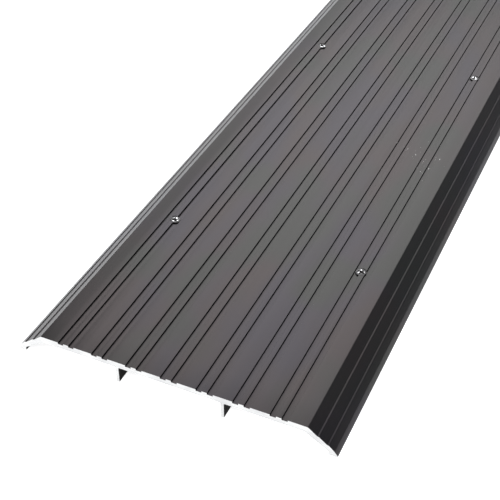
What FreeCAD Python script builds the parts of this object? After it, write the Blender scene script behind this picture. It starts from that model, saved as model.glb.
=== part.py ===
import FreeCAD, Part
import math
import os

# Threshold strip: one fluted aluminium extrusion and the countersunk screws that hold it down.
#
# Frame: +X runs along the strip, +Y across it and +Z up, all in millimetres. The origin is the
# middle of the plane that the two feet rest on, so the top of the floor or sill is z = 0.

# ---- the extrusion's driving dimensions
LENGTH = 812.8              # a standard 32 in strip
WIDTH = 155.2               # nominal 6 in, over the two feet
HEIGHT = 12.0               # from the feet to the walking surface, just under 1/2 in
WALL = 3.0                  # deck and ramp thickness
TOP_HALF_WIDTH = 64.1       # half of the flat walking surface, about 5 in wide in all

# ---- the flutes in the walking surface, in pairs
PAIR_COUNT = 7
PAIR_PITCH = 17.03
PAIR_SPACING = 5.3          # centre to centre of the two flutes in a pair
FLUTE_WIDTH = 2.8
FLUTE_DEPTH = 0.85

# ---- the stepped ramps: (run out from the top corner, drop below the top, corner radius)
RAMP_CORNERS = [
    (0.0, 0.0, 0.9),
    (4.05, 3.4, 0.6),
    (4.8, 3.5, 0.6),
    (8.6, 6.6, 0.6),
    (9.3, 6.7, 0.6),
    (12.0, 9.3, 2.2),
    (13.5, 11.4, 0.6),
]
RAMP_INSIDE_RUN = -1.5      # where the ramp's underside leaves the deck's underside
TOE_WIDTH = 4.3             # flat sole of each foot
TOE_INNER_HEIGHT = 2.1
SOLE_EDGE_RADIUS = 0.3
INSIDE_RADIUS = 0.8

# ---- the two support legs under the deck
LEG_HALF_SPACING = 25.4
LEG_THICKNESS = 1.4
LEG_FLOOR_GAP = 0.4         # the legs stop just short of the feet's plane
LEG_ROOT_RADIUS = 0.6

# ---- the screw positions
SCREW_ROWS = 4
FIRST_ROW = 101.6           # 4 in from the end of the strip to the first row
SCREW_HALF_SPACING = 50.0

# ---- the flat-head wood screws, No. 4 by 1 in
SCREW_LENGTH = 25.4
HEAD_RADIUS = 2.7
HEAD_RIM = 0.15             # the short cylindrical edge above the cone
HEAD_RECESSION = 0.15       # the head's top face below the walking surface
CONE_HALF_ANGLE = 41.0      # an 82 degree countersink
NECK_RADIUS = 1.6           # under the head, where a tapered neck runs down into the shank
NECK_BELOW_DECK = 0.5       # how far below the deck's underside the neck has run out
SHANK_RADIUS = 1.42
SHANK_END_Z = -3.0          # the smooth shank ends below the floor plane
THREAD_ROOT_RADIUS = 1.0
THREAD_PITCH = 1.15
POINT_LENGTH = 3.2
POINT_RADIUS = 0.12
RECESS_TOP_SPAN = 3.2
RECESS_BOTTOM_SPAN = 1.3
RECESS_WIDTH = 0.75
RECESS_DEPTH = 1.5

# ---- fits between the screws and the strip
SEAT_CLEARANCE = 0.03       # between the head's cone and the countersink
HOLE_RADIUS = 1.75

CONE_SLOPE = math.tan(math.radians(CONE_HALF_ANGLE))
HEAD_TOP_Z = HEIGHT - HEAD_RECESSION


def corner_arc(before, corner, after, radius):
    """The start, middle and end of the arc that rounds one corner of an outline."""
    here = FreeCAD.Vector(0, corner[0], corner[1])
    back = (FreeCAD.Vector(0, before[0], before[1]) - here).normalize()
    ahead = (FreeCAD.Vector(0, after[0], after[1]) - here).normalize()
    half_angle = back.getAngle(ahead) / 2
    setback = radius / math.tan(half_angle)
    middle_direction = (back + ahead).normalize()
    middle = here + middle_direction * (radius / math.sin(half_angle) - radius)
    return here + back * setback, middle, here + ahead * setback


def rounded_face(outline):
    """A face in the YZ plane from (y, z, corner radius) points listed in order."""
    stops = []
    for index, (y, z, radius) in enumerate(outline):
        if radius == 0:
            stops.append([FreeCAD.Vector(0, y, z)])
            continue
        before = outline[index - 1]
        after = outline[(index + 1) % len(outline)]
        stops.append(list(corner_arc(before, (y, z), after, radius)))
    edges = []
    for index, stop in enumerate(stops):
        if len(stop) == 3:
            edges.append(Part.Arc(*stop).toShape())
        following = stops[(index + 1) % len(stops)]
        edges.append(Part.LineSegment(stop[-1], following[0]).toShape())
    return Part.Face(Part.Wire(edges))


def flute_centres():
    """The flutes' places on the +Y half of the walking surface, from the middle outwards."""
    centres = [PAIR_SPACING / 2]
    for pair in range(1, PAIR_COUNT // 2 + 1):
        centres += [pair * PAIR_PITCH - PAIR_SPACING / 2, pair * PAIR_PITCH + PAIR_SPACING / 2]
    return centres


def half_outline():
    """The section's +Y half, from the top's middle round the foot to the deck's underside."""
    points = []
    for centre in flute_centres():
        left = centre - FLUTE_WIDTH / 2
        right = centre + FLUTE_WIDTH / 2
        floor = HEIGHT - FLUTE_DEPTH
        points += [(left, HEIGHT, 0), (left, floor, 0), (right, floor, 0), (right, HEIGHT, 0)]
    for run, drop, radius in RAMP_CORNERS:
        points.append((TOP_HALF_WIDTH + run, HEIGHT - drop, radius))
    toe_inner = WIDTH / 2 - TOE_WIDTH
    underside = HEIGHT - WALL
    points.append((WIDTH / 2, 0, SOLE_EDGE_RADIUS))
    points.append((toe_inner, 0, SOLE_EDGE_RADIUS))
    points.append((toe_inner, TOE_INNER_HEIGHT, INSIDE_RADIUS))
    points.append((TOP_HALF_WIDTH + RAMP_INSIDE_RUN, underside, INSIDE_RADIUS))
    leg_outer = LEG_HALF_SPACING + LEG_THICKNESS / 2
    leg_inner = LEG_HALF_SPACING - LEG_THICKNESS / 2
    points.append((leg_outer, underside, LEG_ROOT_RADIUS))
    points.append((leg_outer, LEG_FLOOR_GAP, 0))
    points.append((leg_inner, LEG_FLOOR_GAP, 0))
    points.append((leg_inner, underside, LEG_ROOT_RADIUS))
    return points


def screw_places():
    """Each screw's name and its place in X and Y."""
    row_pitch = (LENGTH - 2 * FIRST_ROW) / (SCREW_ROWS - 1)
    places = {}
    for row in range(SCREW_ROWS):
        x = -LENGTH / 2 + FIRST_ROW + row * row_pitch
        places["screw_front_%d" % (row + 1)] = (x, -SCREW_HALF_SPACING)
        places["screw_back_%d" % (row + 1)] = (x, SCREW_HALF_SPACING)
    return places


def countersunk_hole():
    """The tool that cuts one screw hole, centred on the Z axis."""
    over = 1.0
    seat_radius = HEAD_RADIUS + SEAT_CLEARANCE
    cone_top = HEAD_TOP_Z - HEAD_RIM
    cone_depth = (seat_radius - HOLE_RADIUS) / CONE_SLOPE
    mouth = Part.makeCylinder(seat_radius, HEIGHT + over - cone_top, FreeCAD.Vector(0, 0, cone_top))
    cone_base = FreeCAD.Vector(0, 0, cone_top - cone_depth)
    cone = Part.makeCone(HOLE_RADIUS, seat_radius, cone_depth, cone_base)
    bore = Part.makeCylinder(HOLE_RADIUS, HEIGHT)
    return bore.fuse([cone, mouth])


def make_extrusion():
    """The whole strip, with its flutes, ramps, feet, legs and screw holes."""
    half = half_outline()
    mirrored = [(-y, z, radius) for y, z, radius in reversed(half)]
    bar = rounded_face(half + mirrored).extrude(FreeCAD.Vector(LENGTH, 0, 0))
    bar.translate(FreeCAD.Vector(-LENGTH / 2, 0, 0))
    tool = countersunk_hole()
    cutters = []
    for x, y in screw_places().values():
        cutter = tool.copy()
        cutter.translate(FreeCAD.Vector(x, y, 0))
        cutters.append(cutter)
    return bar.cut(cutters).removeSplitter()


def screw_outline():
    """The screw's radius and height from the top of the head's edge to its point."""
    rim_bottom = HEAD_TOP_Z - HEAD_RIM
    cone_bottom = rim_bottom - (HEAD_RADIUS - NECK_RADIUS) / CONE_SLOPE
    neck_bottom = HEIGHT - WALL - NECK_BELOW_DECK
    tip_z = HEAD_TOP_Z - SCREW_LENGTH
    points = [(HEAD_RADIUS, HEAD_TOP_Z), (HEAD_RADIUS, rim_bottom)]
    points += [(NECK_RADIUS, cone_bottom), (SHANK_RADIUS, neck_bottom), (SHANK_RADIUS, SHANK_END_Z)]
    z = SHANK_END_Z - THREAD_PITCH / 2
    while z > tip_z + POINT_LENGTH + THREAD_PITCH:
        points += [(THREAD_ROOT_RADIUS, z), (SHANK_RADIUS, z - THREAD_PITCH / 2)]
        z -= THREAD_PITCH
    points += [(THREAD_ROOT_RADIUS, z), (POINT_RADIUS, tip_z)]
    return points


def recess_wing():
    """One of the two crossing slots of the drive recess, narrowing as it goes down."""
    half_top = RECESS_TOP_SPAN / 2
    half_bottom = RECESS_BOTTOM_SPAN / 2
    bottom = HEAD_TOP_Z - RECESS_DEPTH
    corners = [(-half_top, HEAD_TOP_Z), (half_top, HEAD_TOP_Z)]
    corners += [(half_bottom, bottom), (-half_bottom, bottom)]
    loop = [FreeCAD.Vector(-RECESS_WIDTH / 2, y, z) for y, z in corners]
    return Part.Face(Part.makePolygon(loop + loop[:1])).extrude(FreeCAD.Vector(RECESS_WIDTH, 0, 0))


def make_screw():
    """One flat-head screw on the Z axis, at the height where it seats."""
    outline = screw_outline()
    tip_z = outline[-1][1]
    points = [FreeCAD.Vector(0, 0, HEAD_TOP_Z)]
    points += [FreeCAD.Vector(radius, 0, z) for radius, z in outline]
    points.append(FreeCAD.Vector(0, 0, tip_z))
    section = Part.Face(Part.makePolygon(points + points[:1]))
    body = section.revolve(FreeCAD.Vector(0, 0, 0), FreeCAD.Vector(0, 0, 1), 360)
    wing = recess_wing()
    crossing = wing.copy()
    crossing.rotate(FreeCAD.Vector(0, 0, 0), FreeCAD.Vector(0, 0, 1), 90)
    return body.cut(wing.fuse(crossing))


def main():
    pieces = {"threshold_extrusion": make_extrusion()}
    screw = make_screw()
    for name, (x, y) in screw_places().items():
        placed = screw.copy()
        placed.translate(FreeCAD.Vector(x, y, 0))
        pieces[name] = placed
    os.makedirs("parts", exist_ok=True)
    for name, shape in pieces.items():
        shape.exportStep("parts/%s.step" % name)
        box = shape.BoundBox
        size = (box.XLength, box.YLength, box.ZLength)
        print("%-20s solids %d valid %s volume %.0f mm3 size %.1f x %.1f x %.1f"
              % ((name, len(shape.Solids), shape.isValid(), shape.Volume) + size))


main()
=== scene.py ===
# %% [markdown]
# A door threshold strip: one fluted aluminium bar, anodised dark bronze, and the eight countersunk
# screws that hold it to the sill. The screws are lacquered to match, and the driver has rubbed them
# bright round the recess. The packed CAD model is loaded first, because it settles every size and
# place. The box that it fills is kept.

# %% Load the frame
import bpy
import math
from mathutils import Matrix, Vector


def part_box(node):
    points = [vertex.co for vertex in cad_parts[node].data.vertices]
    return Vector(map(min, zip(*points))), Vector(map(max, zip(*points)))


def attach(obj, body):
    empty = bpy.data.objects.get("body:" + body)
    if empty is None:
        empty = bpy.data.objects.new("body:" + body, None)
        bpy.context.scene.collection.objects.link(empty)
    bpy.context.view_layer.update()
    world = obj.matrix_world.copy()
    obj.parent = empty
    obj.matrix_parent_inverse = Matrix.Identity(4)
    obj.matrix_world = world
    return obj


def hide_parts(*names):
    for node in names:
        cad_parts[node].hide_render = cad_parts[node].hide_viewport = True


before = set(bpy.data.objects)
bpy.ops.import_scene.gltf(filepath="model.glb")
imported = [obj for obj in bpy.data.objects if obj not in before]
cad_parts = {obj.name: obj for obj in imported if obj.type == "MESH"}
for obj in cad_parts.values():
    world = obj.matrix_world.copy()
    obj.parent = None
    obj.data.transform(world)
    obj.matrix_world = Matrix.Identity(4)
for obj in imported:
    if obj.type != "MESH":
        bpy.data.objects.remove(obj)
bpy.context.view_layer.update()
MM = 0.001

# %% Sizes that come from the frame
strip_low, strip_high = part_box("threshold_extrusion")
HALF_LENGTH = strip_high.x
HALF_WIDTH = strip_high.y
HEIGHT = strip_high.z
screw_nodes = sorted(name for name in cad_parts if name.startswith("screw_"))
screw_boxes = {name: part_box(name) for name in screw_nodes}
HEAD_TOP = screw_boxes[screw_nodes[0]][1].z
SCREW_TIP = screw_boxes[screw_nodes[0]][0].z


def screw_centre(name):
    low, high = screw_boxes[name]
    return Vector(((low.x + high.x) / 2, (low.y + high.y) / 2, 0))


print("strip", HALF_LENGTH * 2, HALF_WIDTH * 2, HEIGHT, "screws", len(screw_nodes))

# %% [markdown]
# Every piece is modelled with Blender's own operators. An operator works on whatever is selected,
# and the import leaves the CAD nodes selected, so each new piece starts from an empty selection.
# Vertices, edges and faces are then picked in code by where they are or which way they face.

# %% Start from an empty selection


def deselect_everything():
    if bpy.context.object and bpy.context.object.mode != "OBJECT":
        bpy.ops.object.mode_set(mode="OBJECT")
    bpy.ops.object.select_all(action="DESELECT")


def make_active(piece):
    deselect_everything()
    piece.select_set(True)
    bpy.context.view_layer.objects.active = piece


def start_piece(name):
    """Names the primitive just added, puts its place in its mesh and opens it for editing."""
    piece = bpy.context.object
    piece.name = name
    piece.data.name = name
    bpy.ops.object.transform_apply(location=True, rotation=True, scale=True)
    bpy.ops.object.mode_set(mode="EDIT")
    bpy.ops.mesh.select_all(action="SELECT")
    return piece


print("objects that the import left selected:", len(bpy.context.selected_objects))

# %% Pick parts of a mesh in code
SELECT_MODES = {"vertices": "VERT", "edges": "EDGE", "polygons": "FACE"}


def select_parts(piece, kind, wanted):
    """In edit mode, selects only the vertices, edges or polygons that the test accepts."""
    bpy.ops.mesh.select_mode(type=SELECT_MODES[kind])
    bpy.ops.mesh.select_all(action="DESELECT")
    bpy.ops.object.mode_set(mode="OBJECT")
    for part in getattr(piece.data, kind):
        part.select = wanted(part)
    bpy.ops.object.mode_set(mode="EDIT")


print("parts that can be picked:", list(SELECT_MODES))

# %% Close a mesh, apply a modifier, make a copy
SLIVER = 0.001 * MM


def close_up(piece):
    """Drops slivers and doubled points, turns every face outwards and leaves edit mode."""
    bpy.ops.mesh.select_all(action="SELECT")
    bpy.ops.mesh.dissolve_degenerate(threshold=SLIVER)
    bpy.ops.mesh.remove_doubles(threshold=SLIVER)
    bpy.ops.mesh.normals_make_consistent(inside=False)
    bpy.ops.object.mode_set(mode="OBJECT")
    return piece


def apply_modifier(piece, kind, **settings):
    make_active(piece)
    modifier = piece.modifiers.new(kind.lower(), kind)
    for name, value in settings.items():
        setattr(modifier, name, value)
    bpy.ops.object.modifier_apply(modifier=modifier.name)


def combine(piece, tool, operation):
    """Cuts, joins or intersects a piece with a tool, and throws the tool away."""
    apply_modifier(piece, "BOOLEAN", operation=operation, object=tool, solver="EXACT")
    bpy.data.objects.remove(tool, do_unlink=True)


def copy_of(piece, name):
    """A copy with its own mesh, as each repeated piece has."""
    twin = piece.copy()
    twin.data = piece.data.copy()
    twin.name = name
    twin.data.name = name
    bpy.context.collection.objects.link(twin)
    return twin


print("anything shorter than", SLIVER / MM, "mm is dissolved")

# %% [markdown]
# The real strip is aluminium pushed through a die, so its shape is one outline swept along its
# length. A box could be grooved one flute at a time, but drawing the die's outline and extruding it
# is how the bar is made, and it gives every flute and step the same crisp edge from end to end.
# Only the half from the middle to one foot is drawn, because the section is the same on both sides.

# %% The section's measures
WALL = 3.0 * MM
TOP_HALF_WIDTH = 64.1 * MM
PAIR_COUNT = 7
PAIR_PITCH = 17.03 * MM
PAIR_SPACING = 5.3 * MM
FLUTE_WIDTH = 2.8 * MM
FLUTE_DEPTH = 0.85 * MM
FLUTE_LIP_RADIUS = 0.1 * MM
FLUTE_FLOOR_RADIUS = 0.18 * MM
# (run out from the top corner, drop below the top, corner radius), in millimetres
RAMP_CORNERS = [
    (0.0, 0.0, 0.9),
    (4.05, 3.4, 0.6),
    (4.8, 3.5, 0.6),
    (8.6, 6.6, 0.6),
    (9.3, 6.7, 0.6),
    (12.0, 9.3, 2.2),
    (13.5, 11.4, 0.6),
]
RAMP_INSIDE_RUN = -1.5 * MM
TOE_WIDTH = 4.3 * MM
TOE_INNER_HEIGHT = 2.1 * MM
SOLE_EDGE_RADIUS = 0.3 * MM
INSIDE_RADIUS = 0.8 * MM
LEG_HALF_SPACING = 25.4 * MM
LEG_THICKNESS = 1.4 * MM
LEG_FLOOR_GAP = 0.4 * MM
LEG_ROOT_RADIUS = 0.6 * MM


def flute_centres():
    centres = [PAIR_SPACING / 2]
    for pair in range(1, PAIR_COUNT // 2 + 1):
        centres += [pair * PAIR_PITCH - PAIR_SPACING / 2, pair * PAIR_PITCH + PAIR_SPACING / 2]
    return centres


print("flutes on half the top, in mm:", [round(centre / MM, 2) for centre in flute_centres()])

# %% Half of the section, corner by corner


def half_outline():
    """(y, z, corner radius) from the middle of the top, round the foot, to the middle underneath."""
    corners = [(0.0, HEIGHT, 0.0)]
    for centre in flute_centres():
        left, right = centre - FLUTE_WIDTH / 2, centre + FLUTE_WIDTH / 2
        floor = HEIGHT - FLUTE_DEPTH
        corners += [(left, HEIGHT, FLUTE_LIP_RADIUS), (left, floor, FLUTE_FLOOR_RADIUS)]
        corners += [(right, floor, FLUTE_FLOOR_RADIUS), (right, HEIGHT, FLUTE_LIP_RADIUS)]
    for run, drop, radius in RAMP_CORNERS:
        corners.append((TOP_HALF_WIDTH + run * MM, HEIGHT - drop * MM, radius * MM))
    toe_inner = HALF_WIDTH - TOE_WIDTH
    underside = HEIGHT - WALL
    corners += [(HALF_WIDTH, 0.0, SOLE_EDGE_RADIUS), (toe_inner, 0.0, SOLE_EDGE_RADIUS)]
    corners.append((toe_inner, TOE_INNER_HEIGHT, INSIDE_RADIUS))
    corners.append((TOP_HALF_WIDTH + RAMP_INSIDE_RUN, underside, INSIDE_RADIUS))
    outer, inner = LEG_HALF_SPACING + LEG_THICKNESS / 2, LEG_HALF_SPACING - LEG_THICKNESS / 2
    corners += [(outer, underside, LEG_ROOT_RADIUS), (outer, LEG_FLOOR_GAP, 0.0)]
    corners += [(inner, LEG_FLOOR_GAP, 0.0), (inner, underside, LEG_ROOT_RADIUS)]
    corners.append((0.0, underside, 0.0))
    return corners


print("corners drawn for half the section:", len(half_outline()))

# %% Round a corner of the outline
ROUND_SEGMENTS = 6
SAME_PLACE = 0.01 * MM


def round_corner(piece, before, corner, after):
    """Bevels the one vertex at this corner, by the setback that gives the wanted radius."""
    here = Vector(corner[:2])
    back, ahead = Vector(before[:2]) - here, Vector(after[:2]) - here
    setback = corner[2] / math.tan(back.angle(ahead) / 2)
    select_parts(piece, "vertices",
                 lambda v: (Vector((v.co.y, v.co.z)) - here).length < SAME_PLACE)
    bpy.ops.mesh.bevel(offset_type="OFFSET", offset=setback, segments=ROUND_SEGMENTS,
                       affect="VERTICES", clamp_overlap=False)


print("corners to round:", sum(corner[2] > 0 for corner in half_outline()))

# %% Draw the half outline, round its corners, extrude it and mirror it


def draw_strip():
    corners = half_outline()
    deselect_everything()
    start = (-HALF_LENGTH, corners[0][0], corners[0][1])
    bpy.ops.mesh.primitive_plane_add(size=MM, location=start)
    piece = start_piece("threshold_strip")
    bpy.ops.mesh.merge(type="CENTER")
    for (y0, z0, _), (y1, z1, _) in zip(corners, corners[1:]):
        bpy.ops.mesh.extrude_vertices_move(TRANSFORM_OT_translate={"value": (0, y1 - y0, z1 - z0)})
    for before, corner, after in zip(corners, corners[1:], corners[2:]):
        if corner[2] > 0:
            round_corner(piece, before, corner, after)
    bpy.ops.mesh.select_all(action="SELECT")
    bpy.ops.mesh.extrude_region_move(TRANSFORM_OT_translate={"value": (2 * HALF_LENGTH, 0, 0)})
    bpy.ops.object.mode_set(mode="OBJECT")
    apply_modifier(piece, "MIRROR", use_axis=(False, True, False), merge_threshold=SLIVER)
    bpy.ops.object.mode_set(mode="EDIT")
    bpy.ops.mesh.select_all(action="SELECT")
    bpy.ops.mesh.fill_holes(sides=0)
    return close_up(piece)


strip = draw_strip()
print("strip before drilling:", len(strip.data.vertices), "points,", len(strip.data.polygons), "faces")

# %% [markdown]
# A screw, a countersink and a drill hole are all turned shapes: a disc extruded from ring to ring,
# each ring scaled to the next radius. One function makes them all. The holes are then cut with a
# Boolean modifier, one cutter for each screw's place in the frame.

# %% Turned shapes
TURNED_SEGMENTS = 64


def turn(name, rings):
    """A solid on the Z axis from (radius, z) rings, listed upwards or downwards."""
    deselect_everything()
    radius, z = rings[0]
    bpy.ops.mesh.primitive_circle_add(vertices=TURNED_SEGMENTS, radius=radius, fill_type="NGON",
                                      location=(0, 0, z))
    piece = start_piece(name)
    for next_radius, next_z in rings[1:]:
        bpy.ops.mesh.extrude_region_move(TRANSFORM_OT_translate={"value": (0, 0, next_z - z)})
        scale = next_radius / radius
        bpy.ops.transform.resize(value=(scale, scale, 1), center_override=(0, 0, next_z))
        radius, z = next_radius, next_z
    return close_up(piece)


print("sides to a turned shape:", TURNED_SEGMENTS)

# %% The screw holes
HEAD_RADIUS = 2.7 * MM
HEAD_RIM = 0.15 * MM
CONE_SLOPE = math.tan(math.radians(41))
SEAT_CLEARANCE = 0.03 * MM
HOLE_RADIUS = 1.75 * MM


def drill_holes(piece):
    cone_top = HEAD_TOP - HEAD_RIM
    seat_radius = HEAD_RADIUS + SEAT_CLEARANCE
    cone_bottom = cone_top - (seat_radius - HOLE_RADIUS) / CONE_SLOPE
    rings = [(HOLE_RADIUS, HEIGHT / 2), (HOLE_RADIUS, cone_bottom),
             (seat_radius, cone_top), (seat_radius, HEIGHT + MM)]
    cutter = turn("cutter", rings)
    for name in screw_nodes:
        tool = copy_of(cutter, "tool")
        tool.data.transform(Matrix.Translation(screw_centre(name)))
        combine(piece, tool, "DIFFERENCE")
    bpy.data.objects.remove(cutter, do_unlink=True)


drill_holes(strip)
print("strip after drilling:", len(strip.data.vertices), "points,", len(strip.data.polygons), "faces")

# %% [markdown]
# The screws are flat-head wood screws with a cross recess. The body is turned, the recess is cut
# with two crossing wedges, and the thread is a small triangle carried round and down by the Screw
# modifier. An envelope that is narrow at both ends trims the thread, so that it rises out of the
# core below the shank and runs out at the point, as a real one does.

# %% The screw's measures
NECK_RADIUS = 1.6 * MM
NECK_BOTTOM = HEIGHT - WALL - 0.5 * MM
SHANK_RADIUS = 1.42 * MM
SHANK_END = -3.0 * MM
CORE_RADIUS = 1.0 * MM
CORE_TOP = SHANK_END - 0.5 * MM
POINT_TOP = SCREW_TIP + 3.2 * MM
POINT_RADIUS = 0.12 * MM
EDGE_BREAK = 0.22 * MM
RUBBED_RADIUS = 1.7 * MM
print("screw length in mm:", round((HEAD_TOP - SCREW_TIP) / MM, 2))

# %% The recess cutter
RECESS_SPAN = 3.3 * MM
RECESS_WIDTH = 0.9 * MM
RECESS_DEPTH = 1.5 * MM
RECESS_OVERSHOOT = 0.5 * MM
BOTTOM_SPAN_SHARE = 0.4
BOTTOM_WIDTH_SHARE = 0.7
WELL_TOP_RADIUS = 0.75 * MM
WELL_BOTTOM_RADIUS = 0.35 * MM
WELL_DEPTH = RECESS_DEPTH * 1.05


def recess_wing(angle):
    """A wedge that narrows downwards, standing a little above the head so that it cuts clean."""
    deselect_everything()
    tall = RECESS_DEPTH + RECESS_OVERSHOOT
    spread = 1 + (1 - BOTTOM_SPAN_SHARE) * RECESS_OVERSHOOT / RECESS_DEPTH
    middle = HEAD_TOP + RECESS_OVERSHOOT - tall / 2
    bpy.ops.mesh.primitive_cube_add(size=1, location=(0, 0, middle))
    piece = bpy.context.object
    piece.scale = (RECESS_SPAN * spread, RECESS_WIDTH, tall)
    piece = start_piece("recess_wing")
    select_parts(piece, "polygons", lambda face: face.normal.z < -0.9)
    narrowing = (BOTTOM_SPAN_SHARE / spread, BOTTOM_WIDTH_SHARE, 1)
    bpy.ops.transform.resize(value=narrowing, center_override=(0, 0, HEAD_TOP - RECESS_DEPTH))
    close_up(piece)
    piece.data.transform(Matrix.Rotation(angle, 4, "Z"))
    return piece


def recess_cutter():
    """The two wings and the round well where they cross."""
    cutter = recess_wing(0)
    combine(cutter, recess_wing(math.pi / 2), "UNION")
    well = turn("well", [(WELL_BOTTOM_RADIUS, HEAD_TOP - WELL_DEPTH),
                         (WELL_TOP_RADIUS, HEAD_TOP + RECESS_OVERSHOOT)])
    combine(cutter, well, "UNION")
    return cutter


print("recess depth in mm:", RECESS_DEPTH / MM)

# %% The thread
THREAD_PITCH = 1.15 * MM
RIDGE_RADIUS = 0.38 * MM
THREAD_STEPS = 32
THREAD_START = SHANK_END + 0.4 * MM
CREST_CLEARANCE = 0.05 * MM


def wound_ridge():
    """A triangle on the core, with its crest at the shank's radius, wound down to the screw's tip."""
    turns = math.ceil((THREAD_START - SCREW_TIP) / THREAD_PITCH)
    deselect_everything()
    bpy.ops.mesh.primitive_circle_add(vertices=3, radius=RIDGE_RADIUS, fill_type="NOTHING",
                                      location=(SHANK_RADIUS - RIDGE_RADIUS, 0, THREAD_START),
                                      rotation=(math.pi / 2, math.pi / 2, 0))
    ridge = start_piece("ridge")
    bpy.ops.object.mode_set(mode="OBJECT")
    apply_modifier(ridge, "SCREW", axis="Z", screw_offset=-THREAD_PITCH, iterations=turns,
                   steps=THREAD_STEPS, render_steps=THREAD_STEPS, use_merge_vertices=False)
    bpy.ops.object.mode_set(mode="EDIT")
    bpy.ops.mesh.select_all(action="SELECT")
    bpy.ops.mesh.fill_holes(sides=0)
    return close_up(ridge)


def thread_ridge():
    """The wound ridge, trimmed to rise from the core at the top and run out at the point."""
    ridge = wound_ridge()
    clear = SHANK_RADIUS + CREST_CLEARANCE
    envelope = turn("envelope", [(CORE_RADIUS * 0.9, CORE_TOP), (clear, CORE_TOP - THREAD_PITCH),
                                 (clear, POINT_TOP), (POINT_RADIUS * 1.5, SCREW_TIP + 0.3 * MM)])
    combine(ridge, envelope, "INTERSECT")
    return ridge


print("thread pitch in mm:", THREAD_PITCH / MM)

# %% Put the screw together


def make_screw():
    rim_bottom = HEAD_TOP - HEAD_RIM
    cone_bottom = rim_bottom - (HEAD_RADIUS - NECK_RADIUS) / CONE_SLOPE
    rings = [(RUBBED_RADIUS, HEAD_TOP), (HEAD_RADIUS - EDGE_BREAK, HEAD_TOP),
             (HEAD_RADIUS - EDGE_BREAK / 3, HEAD_TOP - EDGE_BREAK / 4),
             (HEAD_RADIUS, rim_bottom), (NECK_RADIUS, cone_bottom),
             (SHANK_RADIUS, NECK_BOTTOM), (SHANK_RADIUS, SHANK_END),
             (CORE_RADIUS, CORE_TOP), (CORE_RADIUS, POINT_TOP), (POINT_RADIUS, SCREW_TIP)]
    screw = turn("screw", rings)
    combine(screw, recess_cutter(), "DIFFERENCE")
    combine(screw, thread_ridge(), "UNION")
    make_active(screw)
    bpy.ops.object.mode_set(mode="EDIT")
    return close_up(screw)


screw_pattern = make_screw()
print("screw:", len(screw_pattern.data.vertices), "points,", len(screw_pattern.data.polygons), "faces")

# %% A screw in each hole, each turned its own way as a hand leaves them
RECESS_ANGLES = [25, 48, 5, 75, 70, 12, 33, 60]
screws = {}
for node, angle in zip(screw_nodes, RECESS_ANGLES):
    screw = copy_of(screw_pattern, node + "_finished")
    screw.data.transform(Matrix.Rotation(math.radians(angle), 4, "Z"))
    screw.data.transform(Matrix.Translation(screw_centre(node)))
    screws[node] = screw
bpy.data.objects.remove(screw_pattern, do_unlink=True)
print("screws placed:", len(screws))

# %% Smooth the rounds, keep the edges
SHARP_ANGLE = 30
for piece in (strip, *screws.values()):
    make_active(piece)
    bpy.ops.object.shade_smooth_by_angle(angle=math.radians(SHARP_ANGLE))
print("edges sharper than", SHARP_ANGLE, "degrees stay crisp")

# %% [markdown]
# A material is a small sum of patterns. Writing it with plain operators keeps it readable, so one
# class wraps a socket: adding or multiplying two wrapped sockets adds the Math node that does it,
# and its make method adds any other node from its type, its settings and its inputs.

# %% Shader maths


class Shade:
    def __init__(self, tree, socket=None):
        self.tree = tree
        self.socket = socket

    def make(self, kind, settings=None, inputs=None, output=0):
        """Adds a node: its settings first, then the values or links of its sockets."""
        node = self.tree.nodes.new(kind)
        for name, value in (settings or {}).items():
            if name == "stops":
                self.set_stops(node.color_ramp, value)
            else:
                setattr(node, name, value)
        for name, value in (inputs or {}).items():
            if isinstance(value, Shade):
                self.tree.links.new(value.socket, node.inputs[name])
            else:
                node.inputs[name].default_value = value
        return Shade(self.tree, node.outputs[output])

    @staticmethod
    def set_stops(ramp, stops):
        while len(ramp.elements) < len(stops):
            ramp.elements.new(1.0)
        for element, (position, value) in zip(ramp.elements, stops):
            element.position = position
            element.color = (value, value, value, 1)

    def math(self, operation, first, second):
        return self.make("ShaderNodeMath", {"operation": operation}, {0: first, 1: second})

    def __add__(self, other):
        return self.math("ADD", self, other)

    __radd__ = __add__

    def __sub__(self, other):
        return self.math("SUBTRACT", self, other)

    def __rsub__(self, other):
        return self.math("SUBTRACT", other, self)

    def __mul__(self, other):
        return self.math("MULTIPLY", self, other)

    __rmul__ = __mul__

    def stretched(self, scale, rotation=(0, 0, 0)):
        """These coordinates, scaled on each axis so that a pattern is drawn out along one."""
        return self.make("ShaderNodeMapping", None, {"Vector": self, "Scale": scale, "Rotation": rotation})

    def noise(self, scale, detail=2.0, roughness=0.5):
        inputs = {"Vector": self, "Scale": scale, "Detail": detail, "Roughness": roughness}
        return self.make("ShaderNodeTexNoise", None, inputs)

    def ramp(self, *stops):
        return self.make("ShaderNodeValToRGB", {"stops": stops}, {"Fac": self})

    def mix(self, low, high):
        """A colour between two, by this value."""
        inputs = {"Factor": self, 6: low, 7: high}
        return self.make("ShaderNodeMix", {"data_type": "RGBA"}, inputs, output=2)

    def bump(self, strength, distance):
        inputs = {"Height": self, "Strength": strength, "Distance": distance}
        return self.make("ShaderNodeBump", None, inputs)


print("patterns that a socket can make:", [name for name in vars(Shade) if name[0] != "_"])

# %% Start a material, link a socket, read a coordinate


def new_material(name):
    """The material, its Principled shader and its Object coordinates."""
    material = bpy.data.materials.new(name)
    material.use_nodes = True
    tree = material.node_tree
    shader = tree.nodes["Principled BSDF"]
    place = Shade(tree).make("ShaderNodeTexCoord", output=3)
    return material, shader, place


def connect(shade, shader, socket):
    shade.tree.links.new(shade.socket, shader.inputs[socket])


def axis(place, number):
    """One coordinate of the place: 0 for X, 1 for Y, 2 for Z."""
    return place.make("ShaderNodeSeparateXYZ", None, {"Vector": place}, output=number)


def report(material):
    print(material.name, "has", len(material.node_tree.nodes), "nodes")


print("materials before the first finish:", len(bpy.data.materials))
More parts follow.
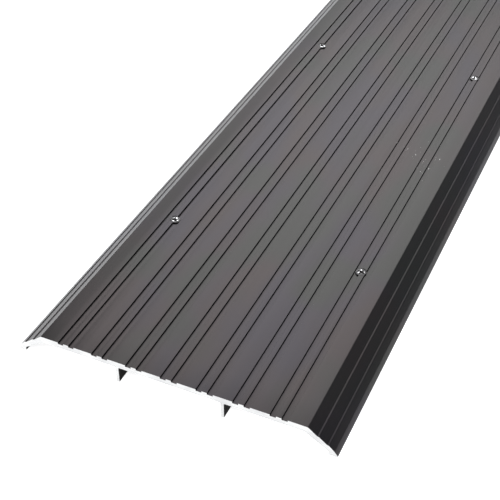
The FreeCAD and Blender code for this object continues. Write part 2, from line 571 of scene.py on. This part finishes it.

# %% [markdown]
# The skin is a dark bronze anodised film on aluminium. It is nearly black, and what the eye sees is
# its satin sheen. A coloured film over metal tints its reflections, so the film is made as a metal
# with a very dark colour, which keeps the walls of the flutes black and lets the dye drift between
# brown, violet and green in the sheen. The patterns are on Object coordinates and drawn out along X,
# the way the bar came through the die. Painted shade darkens the colour on the land beside the back
# edge, fading towards the middle of the bar, and close to the saw cut. A few scuffs show bright metal.

# %% Scuffs
SCUFF_PLACE = (-0.200, -0.045, HEIGHT)
SCUFF_REACH = 0.035
SCUFF_LEVEL = 0.865
EXTRA_NEAR_SPOT = 0.135
SCUFF_SHARPNESS = 25


def scuffs(place):
    """Short slanted scratches and pits, thickest round one scuffed spot."""
    offset = place.make("ShaderNodeVectorMath", {"operation": "SUBTRACT"}, {0: place, 1: SCUFF_PLACE})
    reach = offset.make("ShaderNodeVectorMath", {"operation": "LENGTH"}, {0: offset}, output=1)
    near_spot = (reach * (1 / SCUFF_REACH)).ramp((0.3, 1), (1.0, 0))
    level = SCUFF_LEVEL - near_spot * EXTRA_NEAR_SPOT
    scratch = place.stretched((520, 1500, 1500), (0, 0, 0.6)).noise(1.0, 1.0)
    return ((scratch - level) * SCUFF_SHARPNESS).ramp((0.0, 0), (1.0, 0.9))


print("scuffed spot, in mm from its centre:", SCUFF_REACH / MM)

# %% The dye and the painted shade
DYE_WARM = (0.0478, 0.0418, 0.0418, 1)
DYE_VIOLET = (0.0448, 0.0414, 0.0456, 1)
DYE_GREEN = (0.0433, 0.0428, 0.0412, 1)
PAINTED_SHADE_COLOUR = (0.0200, 0.0180, 0.0180, 1)
BACK_LAND_SHADE = ((0.84, 0), (0.91, 1), (0.99, 1), (1.0, 0))
SHADE_TOWARD_ENDS = ((0.0, 0.15), (0.06, 0.55), (0.24, 0.7), (0.45, 0.75), (0.8, 0.65))
SAW_EDGE_SHADE = ((0.93, 0), (1.0, 1))
SAW_EDGE_SHADE_DEPTH = 0.22


def drifting_dye_and_shade(place):
    """Three tints that drift into each other, and painted shade on the back land and at the saw cut."""
    drift = place.stretched((14, 38, 38)).noise(1.0, 1.5)
    second_drift = place.stretched((20, 30, 30), (0.3, 0.2, 0.5)).noise(1.0, 1.0)
    dye = drift.ramp((0.42, 0), (0.60, 1)).mix(DYE_WARM, DYE_VIOLET)
    dye = second_drift.ramp((0.47, 0), (0.62, 1)).mix(dye, DYE_GREEN)
    across = axis(place, 1) * (1 / TOP_HALF_WIDTH)
    along = axis(place, 0) * (1 / HALF_LENGTH)
    from_middle = along * along
    # Painted shade: darker on the back land, fading towards the middle, and darker at the saw cut.
    painted_shade = across.ramp(*BACK_LAND_SHADE) * from_middle.ramp(*SHADE_TOWARD_ENDS)
    painted_shade = painted_shade + from_middle.ramp(*SAW_EDGE_SHADE) * SAW_EDGE_SHADE_DEPTH
    return painted_shade.mix(dye, PAINTED_SHADE_COLOUR)


# The fourth colour counted here is the painted shade, not a tint of the dye.
print("tints in the dye:", len((DYE_WARM, DYE_VIOLET, DYE_GREEN, PAINTED_SHADE_COLOUR)))

# %% Anodised skin
BARE_METAL = (0.75, 0.75, 0.74, 1)


def anodised_skin():
    material, shader, place = new_material("anodised_skin")
    nicks = scuffs(place)
    connect(nicks.mix(drifting_dye_and_shade(place), BARE_METAL), shader, "Base Color")
    die_lines = place.stretched((2, 900, 900)).noise(1.0, 3.0, 0.6)
    bands = place.stretched((1.5, 160, 160)).noise(1.0, 2.0)
    connect(0.30 + die_lines * 0.08 + bands * 0.03, shader, "Roughness")
    grain = place.noise(2600.0, 2.0)
    relief = die_lines * 0.5 + bands * 0.2 + grain * 0.3 - nicks
    connect(relief.bump(0.12, 0.05 * MM), shader, "Normal")
    shader.inputs["Metallic"].default_value = 0.95
    return material


skin = anodised_skin()
report(skin)

# %% [markdown]
# The channels between the legs, the walls of the flutes and the screw holes lie in shade, and the
# shade is painted: a near-black material of their own with hardly any gloss, broken only by the
# die's lines.

# %% Painted shade for the channels, flutes and holes
INNER_SHADE_DARK = (0.004, 0.0035, 0.0035, 1)
INNER_SHADE_LIGHT = (0.011, 0.010, 0.010, 1)


def inner_painted_shade():
    material, shader, place = new_material("inner_painted_shade")
    lines = place.stretched((3, 1200, 1200)).noise(1.0, 3.0, 0.6)
    dust = place.stretched((60, 200, 200)).noise(1.0, 3.0)
    shade_variation = (lines * 0.6 + dust * 0.4).ramp((0.35, 0), (0.7, 1))
    # Near-black base colour: painted shade in the channels, flute walls and holes.
    connect(shade_variation.mix(INNER_SHADE_DARK, INNER_SHADE_LIGHT), shader, "Base Color")
    connect(0.55 + dust * 0.25, shader, "Roughness")
    connect(lines.bump(0.2, 0.04 * MM), shader, "Normal")
    shader.inputs["IOR"].default_value = 1.12
    return material


inner = inner_painted_shade()
report(inner)

# %% [markdown]
# The ends are cut after anodising, so they show bare aluminium with the saw's fine, slightly slanted
# marks. A noise that is stretched and turned gives marks that are long one way and close the other,
# and a slower one clouds the tone between them.

# %% Sawn ends
SAWN_DARK = (0.52, 0.52, 0.52, 1)
SAWN_LIGHT = (0.68, 0.68, 0.67, 1)


def sawn_metal():
    material, shader, place = new_material("sawn_end")
    marks = place.stretched((600, 90, 2600), (0.25, 0, 0)).noise(1.0, 3.0, 0.6)
    cloud = place.noise(140.0, 2.0)
    tone = (marks * 0.5 + cloud * 0.5).ramp((0.35, 0), (0.65, 1))
    connect(tone.mix(SAWN_DARK, SAWN_LIGHT), shader, "Base Color")
    connect(0.32 + marks * 0.18, shader, "Roughness")
    connect(marks.bump(0.35, 0.03 * MM), shader, "Normal")
    shader.inputs["Metallic"].default_value = 1.0
    return material


sawn = sawn_metal()
report(sawn)

# %% [markdown]
# The screws are steel with a dark bronze lacquer, and the driver has rubbed the top of the head
# bright round the recess. The lacquer is not a metal but a coat, so it has a plain gloss. Where it is
# rubbed through, one mask switches colour and Metallic together, from lacquer to steel.

# %% Rubbed steel
STEEL_DARK = (0.62, 0.62, 0.63, 1)
STEEL_BRIGHT = (0.86, 0.86, 0.87, 1)
LEFT_LACQUER = (0.014, 0.012, 0.012, 1)


def rubbed_steel():
    """Bright steel with patches of the dark lacquer still on it."""
    material, shader, place = new_material("rubbed_steel")
    bright = place.noise(520.0, 1.0).ramp((0.46, 0), (0.50, 1))
    marks = place.stretched((900, 900, 5200), (0, 0, 0.4)).noise(1.0, 3.0, 0.6)
    steel = marks.ramp((0.35, 0), (0.65, 1)).mix(STEEL_DARK, STEEL_BRIGHT)
    connect(bright.mix(LEFT_LACQUER, steel), shader, "Base Color")
    connect(0.20 + marks * 0.18, shader, "Roughness")
    connect(bright, shader, "Metallic")
    connect((marks + bright).bump(0.35, 0.03 * MM), shader, "Normal")
    return material


rubbed = rubbed_steel()
report(rubbed)

# %% Bronze lacquer
LACQUER_DARK = (0.010, 0.008, 0.008, 1)
LACQUER_LIGHT = (0.026, 0.022, 0.022, 1)
SPECK_METAL = (0.55, 0.54, 0.53, 1)


def bronze_lacquer():
    """Dark lacquer with a soft gloss, rubbed through to the steel in small specks."""
    material, shader, place = new_material("bronze_lacquer")
    cloud = place.noise(900.0, 3.0)
    specks = place.noise(3200.0, 2.0).ramp((0.66, 0), (0.72, 1))
    coat = cloud.ramp((0.4, 0), (0.65, 1)).mix(LACQUER_DARK, LACQUER_LIGHT)
    connect(specks.mix(coat, SPECK_METAL), shader, "Base Color")
    connect(0.30 + cloud * 0.16, shader, "Roughness")
    connect(specks, shader, "Metallic")
    connect((cloud * 0.6 - specks * 0.4).bump(0.25, 0.02 * MM), shader, "Normal")
    shader.inputs["IOR"].default_value = 1.5
    return material


lacquer = bronze_lacquer()
report(lacquer)

# %% [markdown]
# The strip is one mesh with three finishes, so each face is given the material slot that its place
# calls for: bare metal on the two end faces, the painted shade in the channels, flutes and holes,
# and the satin skin everywhere else.

# %% Where each finish of the strip belongs
SKIN, INNER, SAWN = range(3)
HOLE_MARGIN = 0.1 * MM
RAMP_MARGIN = 1.0 * MM
UNSHADED_LIP = 0.05 * MM


def in_a_hole(face):
    """A sloping or upright face within reach of a screw, no deeper than the deck is thick."""
    if abs(face.normal.z) >= 0.98 or HEIGHT - face.center.z >= WALL:
        return False
    middle = Vector((face.center.x, face.center.y, 0))
    reach = HEAD_RADIUS + HOLE_MARGIN
    return any((middle - screw_centre(name)).length < reach for name in screw_nodes)


def in_a_flute_wall(face):
    """A steep face of a flute, below the thin band at its lip that keeps the skin; it gets the painted
    shade.
    """
    steep = abs(face.normal.z) < 0.9
    on_the_flat = abs(face.center.y) < TOP_HALF_WIDTH - RAMP_MARGIN
    return steep and on_the_flat and UNSHADED_LIP < HEIGHT - face.center.z < FLUTE_DEPTH


def in_a_channel(face):
    """Under the deck, or on the inner side of a ramp."""
    from_middle = abs(face.center.y)
    beneath_deck = face.center.z < HEIGHT - WALL + SAME_PLACE
    between_toes = from_middle < HALF_WIDTH - TOE_WIDTH + SAME_PLACE
    faces_inwards = from_middle < TOP_HALF_WIDTH or face.normal.z < 0.01
    return beneath_deck and between_toes and faces_inwards


def strip_finish(face):
    if abs(face.normal.x) > 0.99 and abs(abs(face.center.x) - HALF_LENGTH) < SAME_PLACE:
        return SAWN
    if in_a_flute_wall(face) or in_a_channel(face) or in_a_hole(face):
        return INNER
    return SKIN


print("finishes of the strip:", [material.name for material in (skin, inner, sawn)])

# %% Give each face of the strip its finish
for material in (skin, inner, sawn):
    strip.data.materials.append(material)
finish_counts = [0, 0, 0]
for face in strip.data.polygons:
    # The inner slot carries the painted shade of the channels, flute walls and holes.
    face.material_index = strip_finish(face)
    finish_counts[face.material_index] += 1
print("faces of outer skin, inner skin and sawn metal:", finish_counts)

# %% Give each face of the screws its finish


def is_rubbed(face, centre):
    """True on the head's top round the recess, where the driver has slipped and rubbed it bright."""
    from_axis = (Vector((face.center.x, face.center.y, 0)) - centre).length
    return HEAD_TOP - face.center.z < SAME_PLACE / 2 and from_axis < RUBBED_RADIUS


for node, screw in screws.items():
    screw.data.materials.append(lacquer)
    screw.data.materials.append(rubbed)
    for face in screw.data.polygons:
        face.material_index = int(is_rubbed(face, screw_centre(node)))
print("rubbed faces on the last screw:", sum(face.material_index for face in screw.data.polygons))

# %% Tie each piece to the frame
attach(strip, "root")
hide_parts("threshold_extrusion")
for node, screw in screws.items():
    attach(screw, "root")
    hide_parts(node)
print("pieces tied to the frame:", 1 + len(screws))

# %% [markdown]
# The floor stands for the sill at the feet's plane: plain, pale and evenly bright, with a little
# light of its own so that it stays pale far from the lamps. It reaches well past every view.

# %% Floor
FLOOR_SIZE = 30
FLOOR_DROP = 0.05 * MM
FLOOR_GLOW = 0.9
FLOOR_DARK = (0.86, 0.86, 0.86, 1)
FLOOR_LIGHT = (0.90, 0.90, 0.90, 1)
WHITE = (1, 1, 1, 1)


def make_floor():
    deselect_everything()
    bpy.ops.mesh.primitive_plane_add(size=FLOOR_SIZE, location=(0, 0, -FLOOR_DROP))
    floor = bpy.context.object
    floor.name = "floor"
    bpy.ops.object.transform_apply(location=True)
    material, shader, place = new_material("pale_floor")
    connect(place.noise(3.0, 2.0).mix(FLOOR_DARK, FLOOR_LIGHT), shader, "Base Color")
    shader.inputs["Roughness"].default_value = 0.9
    shader.inputs["Emission Color"].default_value = WHITE
    shader.inputs["Emission Strength"].default_value = FLOOR_GLOW
    floor.data.materials.append(material)


make_floor()
print("floor:", FLOOR_SIZE, "m square")

# %% [markdown]
# A satin metal shows what it mirrors, so the lights are wide panels placed where its faces look. The
# flat top mirrors the region above and beyond the strip, and the overhead panel fills it. A small
# key behind the viewer lights the sawn end, and a third panel gives the top something to mirror when
# it is seen from the side.

# %% Light panels
near_end = Vector((-HALF_LENGTH, 0, HEIGHT))
lit_spot = near_end + Vector((0.12, 0, 0))


def toward(heading, elevation):
    """A unit vector at this heading from +X, turned towards +Y, and this height above level."""
    return Vector((math.cos(heading) * math.cos(elevation), math.sin(heading) * math.cos(elevation),
                   math.sin(elevation)))


def panel(name, heading, elevation, distance, size, power):
    """A rectangular panel that faces the near part of the strip: degrees, metres and watts."""
    data = bpy.data.lights.new(name, "AREA")
    data.shape = "RECTANGLE"
    data.size, data.size_y = size
    data.energy = power
    light = bpy.data.objects.new(name, data)
    bpy.context.collection.objects.link(light)
    direction = toward(math.radians(heading), math.radians(elevation))
    light.location = lit_spot + direction * distance
    light.rotation_euler = direction.to_track_quat("Z", "Y").to_euler()


panel("overhead_panel", heading=21, elevation=39, distance=2.2, size=(1.5, 1.3), power=20.2)
panel("near_key", heading=202, elevation=52, distance=2.0, size=(0.7, 0.5), power=7)
panel("left_panel", heading=135, elevation=32, distance=2.2, size=(1.5, 1.3), power=14)
print("light panels:", [light.name for light in bpy.data.lights])

# %% [markdown]
# The studio round the strip is dark at the level of the floor and bright overhead, so the ramp that
# faces the viewer stays dark and a view from above still shows the top. A ramp on the height of each
# direction gives that, with a faint cool tint. The camera itself sees plain white behind the strip.

# %% Studio
# (height of a direction, from 0 at the horizon to 1 straight up, and how bright it is)
STUDIO_BRIGHTNESS = ((0.0, 0.10), (0.18, 0.22), (0.38, 0.37), (0.8, 0.40), (0.95, 1.0))
STUDIO_TINT = (0.95, 0.99, 1.06, 1)
BLACK = (0, 0, 0, 1)


def make_studio():
    world = bpy.data.worlds.new("studio")
    world.use_nodes = True
    background = world.node_tree.nodes["Background"]
    sky = Shade(world.node_tree).make("ShaderNodeTexCoord", output=0)
    upwards = axis(sky, 2).ramp(*STUDIO_BRIGHTNESS)
    studio_tone = upwards.mix(BLACK, STUDIO_TINT)
    seen = sky.make("ShaderNodeLightPath")
    connect(seen.mix(studio_tone, WHITE), background, "Color")
    background.inputs["Strength"].default_value = 1.0
    bpy.context.scene.world = world
    bpy.context.scene.view_settings.view_transform = "Standard"


make_studio()
print("studio brightness from the horizon up:", [value for _, value in STUDIO_BRIGHTNESS])

# %% [markdown]
# The camera stands beyond the near end and looks down along the strip. It is placed from the point
# that it looks at, by a heading, an elevation and a distance, so that each can be changed alone.

# %% Camera
LENS = 76.58
VIEW_HEADING = math.radians(24.57)
VIEW_ELEVATION = math.radians(38.8)
AIM_ALONG = 94.6 * MM
AIM_ACROSS = 5.04 * MM
CAMERA_DISTANCE = 520.3 * MM
NEAREST_SEEN = 10 * MM


def make_camera():
    data = bpy.data.cameras.new("camera")
    data.lens = LENS
    data.clip_start = NEAREST_SEEN
    camera = bpy.data.objects.new("camera", data)
    bpy.context.collection.objects.link(camera)
    aim = near_end + Vector((AIM_ALONG, AIM_ACROSS, 0))
    looking = toward(VIEW_HEADING, -VIEW_ELEVATION)
    camera.location = aim - looking * CAMERA_DISTANCE
    camera.rotation_euler = looking.to_track_quat("-Z", "Y").to_euler()
    bpy.context.scene.camera = camera
    return camera


camera = make_camera()
print("camera at, in mm:", [round(v / MM, 1) for v in camera.location])
